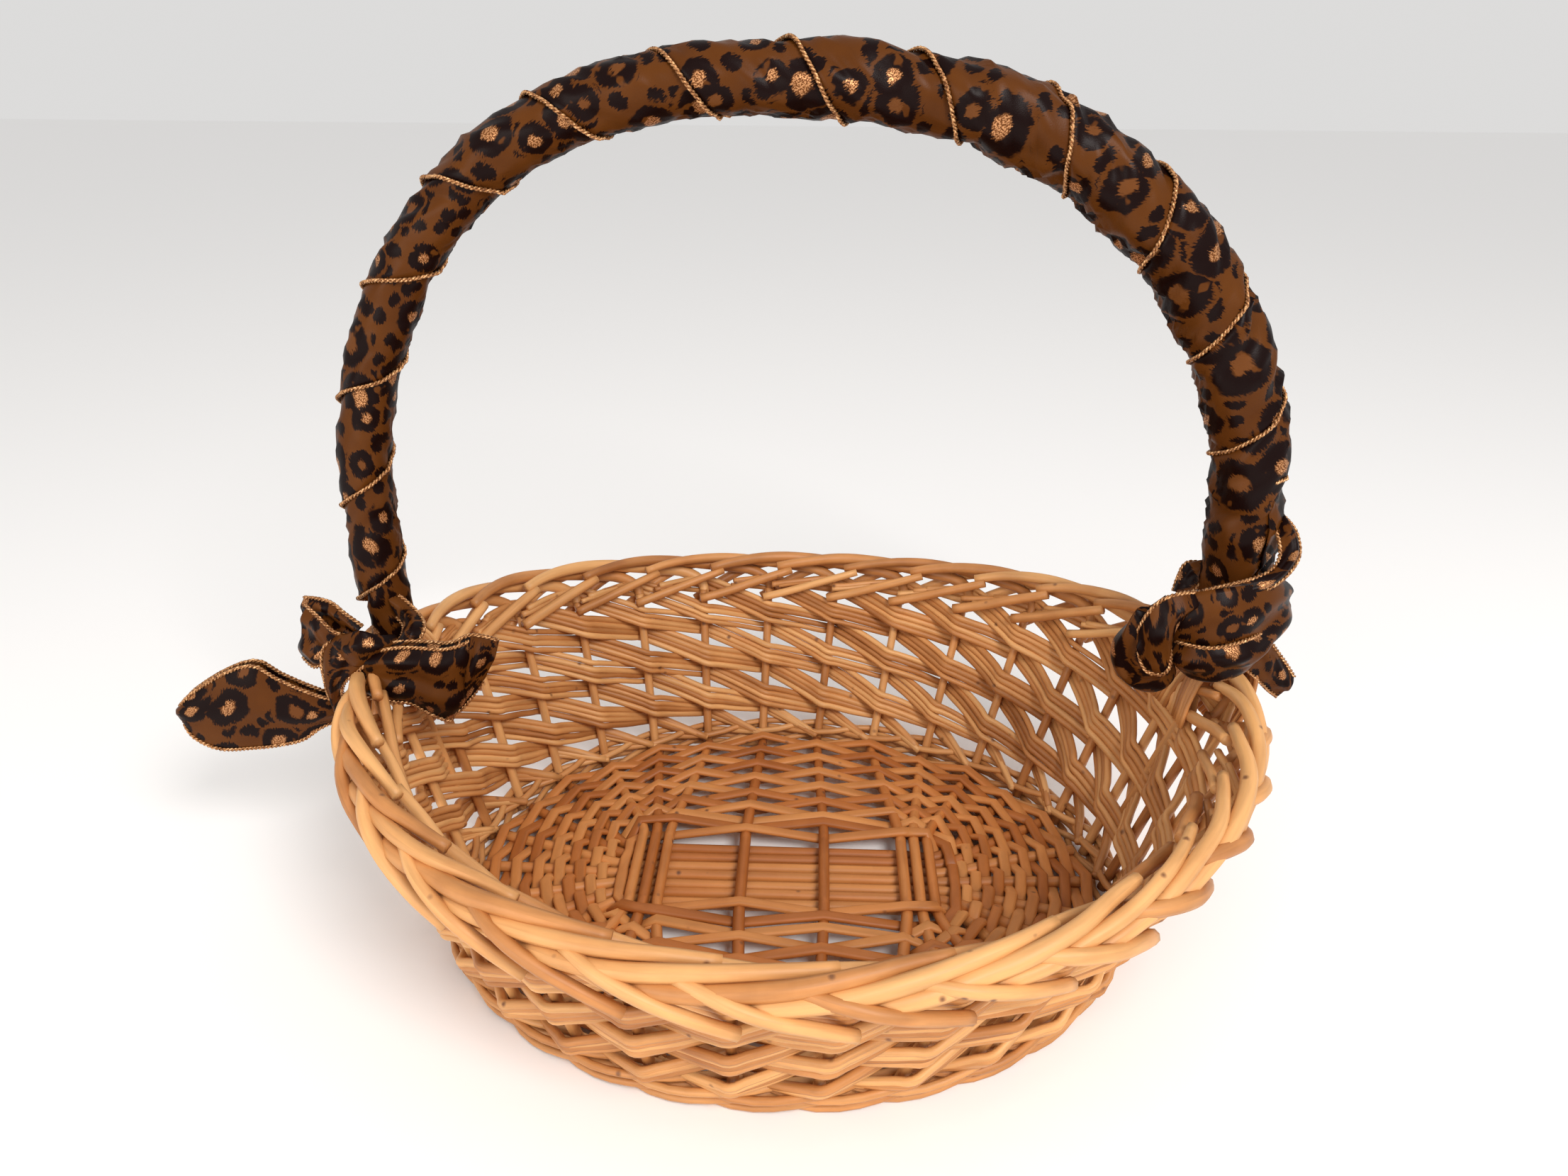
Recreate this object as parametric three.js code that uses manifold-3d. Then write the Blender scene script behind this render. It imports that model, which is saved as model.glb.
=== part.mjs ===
// Oval wicker basket with a fixed arched handle wrapped in ribbon.
// Millimetres, +Z up, X along the basket, Y across it.
import * as THREE from 'three';
import { mergeVertices } from 'three/addons/utils/BufferGeometryUtils.js';
import Module from 'manifold-3d';

const manifold = await Module();
manifold.setup();

// Basket wall, at the middle of its thickness
const RIM_HALF_LENGTH = 198;
const RIM_HALF_WIDTH = 168;
const FOOT_HALF_LENGTH = 158;
const FOOT_HALF_WIDTH = 126;
const FOOT_SHIFT = -7; // the hand-woven foot sits a little to the left of the rim
const RIM_HEIGHT = 116; // mean height; the rim dips along the sides
const RIM_RISE = 11; // and rises by this much where the handle stands
const WALL_HALF = 6.8;

// Stakes and base sticks
const STAKE_COUNT = 30;
const STAKE_FOOT_RADIUS = 2.6;
const STAKE_TOP_RADIUS = 2.2;
const STAKE_FROM = 0.05; // as a share of the rim height
const STAKE_TO = 0.92;
const STICK_RADIUS = 2.9;
const LONG_STICK_PITCH = 6.6;
const LONG_STICKS = 7;
const CROSS_STICK_X = [-74.5, -67.5, -60.5, -20.5, 20.5, 60.5, 67.5, 74.5];
const LONG_STICK_Z = 5.2;
const CROSS_STICK_Z = 11.4;
const FAN_Z = 8; // height of every stick once it has fanned out
const SLATH_HALF_LENGTH = 80;
const SLATH_HALF_WIDTH = 27;
const STICK_END_GAP = 9.5; // from the middle of the wall to a stick's end

// Handle
const HANDLE_ANGLE = Math.PI / 30; // the legs go down between two stakes
const HANDLE_Y = 17.5;
const ARCH_HALF_WIDTH = 201;
const ARCH_BULGE = 4.5;
const ARCH_RISE = 263;
const ARCH_LEAN = 8.6; // the left shoulder stands out further than the right one
const ARCH_LEAN_LIFT = 2;
const ARCH_SQUARENESS = 2.45;
const LEG_TIP_LEVEL = 0.3;
const CORE_RADIUS = 5;
const LEG_RADIUS = 2.8;
const ROPING_RADIUS = 8;
const RIBBON_LEFT_RADIUS = 11;
const RIBBON_RIGHT_RADIUS = 15.5;

const GAP = 0.4; // clearance between pieces that touch

const WILLOW = { color: 0xe2b681, roughness: 0.62, metalness: 0 };
const BASE_WILLOW = { color: 0xc98a4b, roughness: 0.6, metalness: 0 };
const RIBBON = { color: 0x6e3f1c, roughness: 0.45, metalness: 0 };

const { lerp } = THREE.MathUtils;
const basket = new THREE.Group();

function addPiece(name, geometry, look) {
  const mesh = new THREE.Mesh(geometry, new THREE.MeshStandardMaterial(look));
  mesh.name = name;
  basket.add(mesh);
  return mesh;
}

// A solid that manifold-3d can cut, from a closed geometry
function toSolid(geometry) {
  const bare = geometry.index ? geometry.toNonIndexed() : geometry.clone();
  for (const attribute of ['normal', 'uv']) {
    bare.deleteAttribute(attribute);
  }
  const merged = mergeVertices(bare, 1e-3);
  return new manifold.Manifold(new manifold.Mesh({
    numProp: 3,
    vertProperties: new Float32Array(merged.attributes.position.array),
    triVerts: new Uint32Array(merged.index.array),
  }));
}

function toGeometry(solid) {
  const { vertProperties, triVerts } = solid.getMesh();
  const geometry = new THREE.BufferGeometry();
  geometry.setAttribute('position', new THREE.BufferAttribute(vertProperties, 3));
  geometry.setIndex(new THREE.BufferAttribute(triVerts, 1));
  geometry.computeVertexNormals();
  return geometry;
}

// What is left of a geometry after the cuts; crumbs cut off by a neighbour are dropped
function cutAway(geometry, cutters) {
  let solid = toSolid(geometry);
  for (const cutter of cutters) {
    solid = solid.subtract(toSolid(cutter));
  }
  const bodies = solid.decompose();
  bodies.sort((one, other) => other.volume() - one.volume());
  return toGeometry(bodies[0]);
}

// Moves every vertex of a geometry to bend(vertex)
function bent(geometry, bend) {
  const position = geometry.attributes.position;
  const vertex = new THREE.Vector3();
  for (let i = 0; i < position.count; i += 1) {
    vertex.fromBufferAttribute(position, i);
    const moved = bend(vertex);
    position.setXYZ(i, moved.x, moved.y, moved.z);
  }
  geometry.computeVertexNormals();
  return geometry;
}

// A point of the wall: angle around the oval, level as a share of the rim's height,
// out as the distance from the middle of the wall
function wallPoint(angle, level, out = 0) {
  const halfLength = lerp(FOOT_HALF_LENGTH, RIM_HALF_LENGTH, level);
  const halfWidth = lerp(FOOT_HALF_WIDTH, RIM_HALF_WIDTH, level);
  const outward = new THREE.Vector2(Math.cos(angle) * halfWidth, Math.sin(angle) * halfLength);
  outward.normalize();
  return new THREE.Vector3(
    FOOT_SHIFT * (1 - level) + halfLength * Math.cos(angle) + outward.x * out,
    halfWidth * Math.sin(angle) + outward.y * out,
    level * (RIM_HEIGHT + RIM_RISE * Math.cos(2 * angle)),
  );
}

// A closed ring around the wall from its [out, level] outline
const RING_CENTRE = 100;
const LEVEL_SCALE = 100;
const RING_SEGMENTS = STAKE_COUNT; // one flat stretch for each stake
const RING_START = Math.PI / RING_SEGMENTS;
function wallRing(outline) {
  const closed = [...outline, outline[0]];
  const profile = closed.map(([out, level]) => (
    new THREE.Vector2(RING_CENTRE + out, level * LEVEL_SCALE)));
  const lathe = new THREE.LatheGeometry(profile, RING_SEGMENTS, RING_START);
  return bent(lathe, ({ x, y, z }) => (
    wallPoint(Math.atan2(x, z), y / LEVEL_SCALE, Math.hypot(x, z) - RING_CENTRE)));
}

// A straight square bar between two points, as a cutter for a round channel
function channel(from, to, halfWidth) {
  const run = new THREE.Vector3().subVectors(to, from);
  const box = new THREE.BoxGeometry(2 * halfWidth, run.length(), 2 * halfWidth);
  box.applyQuaternion(new THREE.Quaternion().setFromUnitVectors(
    new THREE.Vector3(0, 1, 0), run.normalize()));
  const middle = new THREE.Vector3().addVectors(from, to).multiplyScalar(0.5);
  return box.translate(middle.x, middle.y, middle.z);
}

// A six-sided tapered bar between two points
function taperedBar(from, to, fromRadius, toRadius) {
  const run = new THREE.Vector3().subVectors(to, from);
  const bar = new THREE.CylinderGeometry(toRadius, fromRadius, run.length(), 6);
  bar.applyQuaternion(new THREE.Quaternion().setFromUnitVectors(
    new THREE.Vector3(0, 1, 0), run.normalize()));
  const middle = new THREE.Vector3().addVectors(from, to).multiplyScalar(0.5);
  return bar.translate(middle.x, middle.y, middle.z);
}

function stakeAngle(index) {
  return (2 * Math.PI * index) / STAKE_COUNT;
}

// Side stakes, pushed down into the foot and up into the border
const stakeChannels = [];
for (let index = 0; index < STAKE_COUNT; index += 1) {
  const angle = stakeAngle(index);
  const foot = wallPoint(angle, STAKE_FROM);
  const top = wallPoint(angle, STAKE_TO);
  const name = `side_stake_${String(index + 1).padStart(2, '0')}`;
  addPiece(name, taperedBar(foot, top, STAKE_FOOT_RADIUS, STAKE_TOP_RADIUS), WILLOW);
  stakeChannels.push(channel(
    wallPoint(angle, STAKE_FROM - 0.01), wallPoint(angle, STAKE_TO + 0.01),
    STAKE_FOOT_RADIUS + GAP));
}

// The handle's pointed legs go down inside the wall, in the handle's own plane
function legPoint(side, level) {
  const angle = side > 0 ? HANDLE_ANGLE : Math.PI - HANDLE_ANGLE;
  const point = wallPoint(angle, level);
  point.y = HANDLE_Y;
  return point;
}
function legChannels(radius) {
  return [-1, 1].map((side) => (
    channel(legPoint(side, LEG_TIP_LEVEL - 0.03), legPoint(side, 1.15), radius + GAP)));
}

// Woven bands of the wall: a barrel outline between two levels
function bandOutline(lowLevel, highLevel, half) {
  const middle = (lowLevel + highLevel) / 2;
  const shoulder = half - 1.2;
  return [
    [-shoulder, lowLevel], [shoulder, lowLevel], [half, middle],
    [shoulder, highLevel], [-shoulder, highLevel], [-half, middle],
  ];
}
function footOutline() {
  return [
    [-5, 0], [6, 0], [WALL_HALF + 1, 0.07], [5, 0.16], [-5, 0.16], [-WALL_HALF, 0.07],
  ];
}
addPiece('foot_wale', cutAway(wallRing(footOutline()), stakeChannels), WILLOW);
const bands = [
  ['lower_weave_band', 0.2, 0.39],
  ['middle_weave_band', 0.43, 0.62],
  ['upper_weave_band', 0.66, 0.84],
];
for (const [name, low, high] of bands) {
  const ring = wallRing(bandOutline(low, high, WALL_HALF));
  addPiece(name, cutAway(ring, [...stakeChannels, ...legChannels(LEG_RADIUS)]), WILLOW);
}
const borderRing = wallRing(bandOutline(0.87, 1.04, 10));
addPiece('border', cutAway(
  borderRing, [...stakeChannels, ...legChannels(CORE_RADIUS + 1)]), WILLOW);

// Base sticks: seven long ones under eight cross sticks, fanned out to the stakes
function stickEnd(stakeIndex) {
  const point = wallPoint(stakeAngle(stakeIndex), 0.07, -STICK_END_GAP);
  point.z = FAN_Z;
  return point;
}
// One stick through four corners: straight over the crossing, then out to both ends
function stick(corners) {
  const bar = new THREE.CylinderGeometry(STICK_RADIUS, STICK_RADIUS, 3, 6, 3);
  bar.rotateX(Math.PI / 2);
  const along = new THREE.Vector3().subVectors(corners[2], corners[1]).normalize();
  const up = new THREE.Vector3(0, 0, 1);
  const side = new THREE.Vector3().crossVectors(up, along);
  return bent(bar, ({ x, y, z }) => {
    const corner = corners[Math.round(z + 1.5)];
    return corner.clone().addScaledVector(side, x).addScaledVector(up, y);
  });
}
const CHANNEL_OVERRUN = 4;
function fanChannel(fan, end) {
  const run = new THREE.Vector3().subVectors(end, fan).setLength(CHANNEL_OVERRUN);
  return channel(fan.clone().sub(run), end.clone().add(run), STICK_RADIUS + 0.6);
}

const stickChannels = [];
function addStick(name, corners) {
  addPiece(name, stick(corners), BASE_WILLOW);
  stickChannels.push(fanChannel(corners[1], corners[0]), fanChannel(corners[2], corners[3]));
}
for (let index = 0; index < LONG_STICKS; index += 1) {
  const order = index - (LONG_STICKS - 1) / 2;
  const y = order * LONG_STICK_PITCH;
  addStick(`base_long_stick_${index + 1}`, [
    stickEnd(STAKE_COUNT / 2 - order),
    new THREE.Vector3(FOOT_SHIFT - SLATH_HALF_LENGTH, y, LONG_STICK_Z),
    new THREE.Vector3(FOOT_SHIFT + SLATH_HALF_LENGTH, y, LONG_STICK_Z),
    stickEnd(order),
  ]);
}
const FIRST_SIDE_STAKE = 11; // the left-most stake of the far side
CROSS_STICK_X.forEach((x, index) => {
  const farStake = FIRST_SIDE_STAKE - index;
  addStick(`base_cross_stick_${index + 1}`, [
    stickEnd(STAKE_COUNT - farStake),
    new THREE.Vector3(FOOT_SHIFT + x, -SLATH_HALF_WIDTH, CROSS_STICK_Z),
    new THREE.Vector3(FOOT_SHIFT + x, SLATH_HALF_WIDTH, CROSS_STICK_Z),
    stickEnd(farStake),
  ]);
});

// Base weave: an oval plate around the crossed sticks, from [share, z] to the foot
const BASE_LOW_Z = 2.6;
const BASE_HIGH_Z = 15;
const SHARE_SCALE = 10;
function floorPoint(angle, share, z) {
  const cos = Math.cos(angle);
  const sin = Math.sin(angle);
  const inner = new THREE.Vector3(
    FOOT_SHIFT + 1.06 * SLATH_HALF_LENGTH * Math.sign(cos) * Math.sqrt(Math.abs(cos)),
    1.06 * SLATH_HALF_WIDTH * Math.sign(sin) * Math.sqrt(Math.abs(sin)), z);
  const outer = wallPoint(angle, 0.07, -STICK_END_GAP + 0.8);
  outer.z = z;
  return inner.lerp(outer, share);
}
function baseWeave() {
  const corners = [
    [0, BASE_LOW_Z], [1, BASE_LOW_Z], [1, BASE_HIGH_Z - 2], [0.96, BASE_HIGH_Z],
    [0, BASE_HIGH_Z], [0, BASE_LOW_Z],
  ];
  const profile = corners.map(([share, z]) => (
    new THREE.Vector2(RING_CENTRE + SHARE_SCALE * share, z)));
  const lathe = new THREE.LatheGeometry(profile, RING_SEGMENTS, RING_START);
  return bent(lathe, ({ x, y, z }) => (
    floorPoint(Math.atan2(x, z), (Math.hypot(x, z) - RING_CENTRE) / SHARE_SCALE, y)));
}
const slathRoom = new THREE.BoxGeometry(
  2 * SLATH_HALF_LENGTH + 2, 2 * SLATH_HALF_WIDTH + 2, 2 * BASE_HIGH_Z + 2);
slathRoom.translate(FOOT_SHIFT, 0, 0);
addPiece('base_weave', cutAway(baseWeave(), [slathRoom, ...stickChannels]), BASE_WILLOW);

// Handle: one bow whose legs follow the slope of the wall and whose arch rises above it
function archPoint(turn) {
  const cos = Math.cos(turn);
  const rise = Math.sin(turn) ** (2 / ARCH_SQUARENESS);
  const across = Math.sign(cos) * Math.abs(cos) ** (2 / ARCH_SQUARENESS);
  const bulge = ARCH_BULGE * Math.sin(Math.PI * rise) * Math.sign(cos);
  const lean = Math.sin(turn) ** 2 * (1 - cos);
  return new THREE.Vector3(
    ARCH_HALF_WIDTH * across + bulge - ARCH_LEAN * lean,
    HANDLE_Y,
    RIM_HEIGHT + ARCH_RISE * rise + ARCH_LEAN_LIFT * lean);
}
const ARCH_STEPS = 18;
const LEG_LEVELS = [LEG_TIP_LEVEL, 0.5, 0.7, 0.86, 1];
function handleCurve() {
  const points = LEG_LEVELS.map((level) => legPoint(-1, level));
  for (let step = 2; step <= ARCH_STEPS - 2; step += 1) {
    points.push(archPoint(Math.PI * (1 - step / ARCH_STEPS)));
  }
  points.push(...LEG_LEVELS.map((level) => legPoint(1, level)).reverse());
  return new THREE.CatmullRomCurve3(points, false, 'centripetal');
}
const handleLine = handleCurve();
const FRONTWARD = new THREE.Vector3(0, 1, 0);

// Bends a lathe that stands on Y from 0 to 1 so that it follows the handle
function alongHandle(lathe) {
  return bent(lathe, ({ x, y, z }) => {
    const share = THREE.MathUtils.clamp(y, 0, 1);
    const centre = handleLine.getPointAt(share);
    const outward = handleLine.getTangentAt(share).cross(FRONTWARD).normalize();
    return centre.addScaledVector(outward, x).addScaledVector(FRONTWARD, z);
  });
}
// Every piece of the handle has its corners at the same stations along the bow
const STATIONS = 48;
function stations(from, to) {
  return Array.from({ length: to - from + 1 }, (_, i) => (from + i) / STATIONS);
}
const HANDLE_SIDES = 8;
const LEG_STATION = 4; // each thin leg ends here, inside the border
const SHOULDER_SHARE = 0.093; // where the bow has its full thickness
function coreRadius(share) {
  const fromTip = Math.min(share, 1 - share);
  const swell = THREE.MathUtils.inverseLerp(
    LEG_STATION / STATIONS, SHOULDER_SHARE, fromTip);
  return lerp(LEG_RADIUS, CORE_RADIUS, THREE.MathUtils.clamp(swell, 0, 1));
}
function handleCore() {
  const shares = [
    ...stations(0, LEG_STATION), SHOULDER_SHARE,
    ...stations(LEG_STATION + 1, STATIONS - LEG_STATION - 1),
    1 - SHOULDER_SHARE, ...stations(STATIONS - LEG_STATION, STATIONS)];
  const side = shares.map((share) => new THREE.Vector2(coreRadius(share), share));
  const profile = [new THREE.Vector2(0, 0), ...side, new THREE.Vector2(0, 1)];
  return alongHandle(new THREE.LatheGeometry(profile, HANDLE_SIDES));
}
// A sleeve on the bow between a station and its mirror image
function handleSleeve(from, innerRadius, outerRadius) {
  const shares = stations(from, STATIONS - from);
  const outside = shares.map((share) => new THREE.Vector2(outerRadius(share), share));
  const inside = shares.map((share) => new THREE.Vector2(innerRadius, share)).reverse();
  const profile = [...outside, ...inside, outside[0].clone()];
  return alongHandle(new THREE.LatheGeometry(profile, HANDLE_SIDES));
}
const ROPING_FROM = 6;
const RIBBON_FROM = 7;
function ribbonRadius(share) {
  return lerp(RIBBON_LEFT_RADIUS, RIBBON_RIGHT_RADIUS, Math.min(1, share / 0.7));
}
addPiece('handle_core', handleCore(), WILLOW);
addPiece('handle_roping', handleSleeve(
  ROPING_FROM, CORE_RADIUS + GAP, () => ROPING_RADIUS), WILLOW);
addPiece('ribbon_wrap', handleSleeve(
  RIBBON_FROM, ROPING_RADIUS + GAP, ribbonRadius), RIBBON);

// Bows: a knot around each foot of the handle, with its loops and ends
function pad(centre, halfSizes, turn) {
  const ball = new THREE.SphereGeometry(1, 12, 8);
  ball.scale(...halfSizes);
  ball.rotateY(turn);
  return ball.translate(...centre);
}
// What a bow's piece must stay clear of: border, handle and ribbon, a little swollen
const borderClearance = wallRing(bandOutline(0.865, 1.045, 10 + GAP));
const ribbonClearance = handleSleeve(RIBBON_FROM, 0.5, (share) => ribbonRadius(share) + GAP);
const ropingClearance = handleSleeve(LEG_STATION + 1, 0.5, () => ROPING_RADIUS + GAP);
const fixtures = [borderClearance, ribbonClearance, ropingClearance];

const bowPieces = [
  ['left_bow_knot', [[[-205, 4, 146], [17, 19, 15], 0.3]]],
  ['left_bow_long_loop', [[[-254, -14, 109], [50, 5, 20], -0.62]]],
  ['left_bow_small_loop', [[[-226, 16, 152], [13, 12, 15], 0.5]]],
  ['left_bow_front_loop', [[[-168, -12, 130], [28, 13, 17], 0.45]]],
  ['right_bow_knot', [
    [[199, 10, 178], [24, 24, 17], -0.5],
    [[188, -3, 150], [25, 27, 18], -0.6],
    [[154, -12, 148], [18, 11, 20], 0.3],
  ]],
  ['right_bow_tail', [[[222, 12, 132], [14, 7, 20], -0.6]]],
];
function joinedPads(pads, swell) {
  const solids = pads.map(([centre, halfSizes, turn]) => (
    toSolid(pad(centre, halfSizes.map((size) => size + swell), turn))));
  return toGeometry(solids.reduce((whole, next) => whole.add(next)));
}
const SWELL = 0.6;
const earlier = [];
for (const [name, pads] of bowPieces) {
  addPiece(name, cutAway(joinedPads(pads, 0), [...fixtures, ...earlier]), RIBBON);
  earlier.push(joinedPads(pads, SWELL));
}

// The origin is at the middle of the floor under the whole basket
const bounds = new THREE.Box3().setFromObject(basket);
const middle = bounds.getCenter(new THREE.Vector3());
basket.position.set(-middle.x, -middle.y, -bounds.min.z);

export default basket;
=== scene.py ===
import math
import random

import bmesh
import bpy
import numpy as np
from mathutils import Matrix, Vector
from mathutils import noise as noise_field


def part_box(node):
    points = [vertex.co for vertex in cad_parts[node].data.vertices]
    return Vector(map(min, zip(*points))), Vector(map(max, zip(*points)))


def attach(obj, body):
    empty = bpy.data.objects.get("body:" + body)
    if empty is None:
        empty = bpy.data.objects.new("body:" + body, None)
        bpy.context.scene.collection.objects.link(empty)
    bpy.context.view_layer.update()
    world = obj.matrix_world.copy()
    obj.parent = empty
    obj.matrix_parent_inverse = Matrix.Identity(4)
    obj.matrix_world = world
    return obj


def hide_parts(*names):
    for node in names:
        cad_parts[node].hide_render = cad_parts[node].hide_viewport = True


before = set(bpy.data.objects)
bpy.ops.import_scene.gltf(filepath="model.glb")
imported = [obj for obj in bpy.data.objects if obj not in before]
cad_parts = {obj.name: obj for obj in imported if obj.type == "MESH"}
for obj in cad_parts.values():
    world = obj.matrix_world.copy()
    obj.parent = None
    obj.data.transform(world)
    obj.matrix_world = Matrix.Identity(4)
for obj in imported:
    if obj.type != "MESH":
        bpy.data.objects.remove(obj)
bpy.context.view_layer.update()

# ---- Camera, floor and light
# A pale floor that stands for a studio table, seen from above the front, under
# a soft key lamp from the right front and a wider, weaker one from the left front.
camera_data = bpy.data.cameras.new("camera")
camera_data.lens = 25.86
camera_data.sensor_width = 36
camera_data.shift_x = 0.0039
camera_data.shift_y = -0.0371
camera = bpy.data.objects.new("camera", camera_data)
camera.matrix_world = (
    Matrix.Translation((0.0323, -0.455, 0.3923))
    @ Matrix.Rotation(0.0313, 4, "Z")
    @ Matrix.Rotation(math.pi / 2 - 0.405, 4, "X")
    @ Matrix.Rotation(0.007, 4, "Z")
)
bpy.context.collection.objects.link(camera)
bpy.context.scene.camera = camera
bpy.context.scene.view_settings.view_transform = "Standard"

FLOOR_HALF = 6.0
floor_shape = bmesh.new()
bmesh.ops.create_grid(floor_shape, x_segments=1, y_segments=1, size=FLOOR_HALF)
floor_mesh = bpy.data.meshes.new("floor")
floor_shape.to_mesh(floor_mesh)
floor_shape.free()
floor = bpy.data.objects.new("floor", floor_mesh)
floor.location.z = -0.0005
bpy.context.collection.objects.link(floor)
floor_paint = bpy.data.materials.new("pale_floor")
floor_paint.use_nodes = True
floor_shader = floor_paint.node_tree.nodes["Principled BSDF"]
floor_shader.inputs["Base Color"].default_value = (0.95, 0.945, 0.94, 1)
floor_shader.inputs["Roughness"].default_value = 0.9
floor_shader.inputs["Specular IOR Level"].default_value = 0.1
floor_mesh.materials.append(floor_paint)

world = bpy.data.worlds.new("studio")
world.use_nodes = True
world.node_tree.nodes["Background"].inputs["Color"].default_value = (1, 0.99, 0.98, 1)
world.node_tree.nodes["Background"].inputs["Strength"].default_value = 0.72
bpy.context.scene.world = world


def softbox(name, place, aim, size, power, colour):
    data = bpy.data.lights.new(name, "AREA")
    data.shape = "DISK"
    data.size = size
    data.energy = power
    data.color = colour
    lamp = bpy.data.objects.new(name, data)
    lamp.location = place
    aimed = Vector(aim) - Vector(place)
    lamp.rotation_euler = aimed.to_track_quat("-Z", "Y").to_euler()
    bpy.context.collection.objects.link(lamp)


softbox("key", (0.62, -1.05, 1.25), (0, 0, 0.12), 0.6, 19, (1, 0.96, 0.93))
softbox("fill", (-0.9, -1.35, 0.5), (0, 0, 0.1), 0.9, 10, (1, 0.95, 0.88))

# ---- Wall line and willow
# Everything woven follows one oval: 30 places about 34 mm apart, counted
# anticlockwise from the +X end, and a level from 0 at the foot to 1 at the rim.
STAKES = 30
border_low, border_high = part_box("border")
MIDDLE_X = (border_low.x + border_high.x) / 2
FOOT_BACK = 0.007
FOOT_LENGTH, RIM_LENGTH = 0.158, 0.198
FOOT_WIDTH, RIM_WIDTH = 0.126, 0.168
WALL_HEIGHT, END_LIFT = 0.116, 0.011


def wall(place, level, out=0.0):
    angle = place * 2 * math.pi / STAKES
    length = FOOT_LENGTH + (RIM_LENGTH - FOOT_LENGTH) * level
    width = FOOT_WIDTH + (RIM_WIDTH - FOOT_WIDTH) * level
    across = Vector((math.cos(angle) * width, math.sin(angle) * length)).normalized()
    return Vector((
        MIDDLE_X - FOOT_BACK * (1 - level) + length * math.cos(angle) + across.x * out,
        width * math.sin(angle) + across.y * out,
        level * (WALL_HEIGHT + END_LIFT * math.cos(2 * angle)),
    ))


def colour_steps(nodes, steps):
    ramp = nodes.new("ShaderNodeValToRGB")
    while len(ramp.color_ramp.elements) < len(steps):
        ramp.color_ramp.elements.new(0.5)
    for element, (place, colour) in zip(ramp.color_ramp.elements, steps):
        element.position = place
        element.color = (*colour, 1)
    return ramp


def willow_grain_group():
    """Fibres that run along a rod, blotches and small dark knots."""
    group = bpy.data.node_groups.new("willow_grain", "ShaderNodeTree")
    group.interface.new_socket("Knots", in_out="INPUT", socket_type="NodeSocketFloat")
    for name in ("Fibre", "Blotch", "Knot"):
        group.interface.new_socket(name, in_out="OUTPUT", socket_type="NodeSocketFloat")
    nodes, links = group.nodes, group.links
    entry = nodes.new("NodeGroupInput")
    leave = nodes.new("NodeGroupOutput")
    along = nodes.new("ShaderNodeUVMap")
    along.uv_map = "UVMap"
    rod = nodes.new("ShaderNodeAttribute")
    rod.attribute_name = "rod"
    shift = nodes.new("ShaderNodeVectorMath")
    shift.operation = "MULTIPLY_ADD"
    shift.inputs[1].default_value = (0, 0, 57)
    links.new(rod.outputs["Vector"], shift.inputs[0])
    links.new(along.outputs["UV"], shift.inputs[2])
    stretch = nodes.new("ShaderNodeMapping")
    stretch.inputs["Scale"].default_value = (40, 6, 1)
    links.new(shift.outputs[0], stretch.inputs["Vector"])
    fibre = nodes.new("ShaderNodeTexNoise")
    fibre.inputs["Scale"].default_value = 1
    fibre.inputs["Detail"].default_value = 4
    links.new(stretch.outputs[0], fibre.inputs["Vector"])
    links.new(fibre.outputs["Fac"], leave.inputs["Fibre"])
    place = nodes.new("ShaderNodeTexCoord")
    blotch = nodes.new("ShaderNodeTexNoise")
    blotch.inputs["Scale"].default_value = 38
    blotch.inputs["Detail"].default_value = 5
    links.new(place.outputs["Object"], blotch.inputs["Vector"])
    links.new(blotch.outputs["Fac"], leave.inputs["Blotch"])
    spots = nodes.new("ShaderNodeTexVoronoi")
    spots.inputs["Scale"].default_value = 95
    links.new(place.outputs["Object"], spots.inputs["Vector"])
    near = nodes.new("ShaderNodeMapRange")
    near.inputs["From Min"].default_value = 0.16
    near.inputs["From Max"].default_value = 0.05
    links.new(spots.outputs["Distance"], near.inputs["Value"])
    some = nodes.new("ShaderNodeMath")
    some.operation = "GREATER_THAN"
    links.new(spots.outputs["Color"], some.inputs[0])
    links.new(entry.outputs["Knots"], some.inputs[1])
    knot = nodes.new("ShaderNodeMath")
    knot.operation = "MULTIPLY"
    links.new(near.outputs[0], knot.inputs[0])
    links.new(some.outputs[0], knot.inputs[1])
    links.new(knot.outputs[0], leave.inputs["Knot"])
    return group


willow_grain = willow_grain_group()


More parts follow.
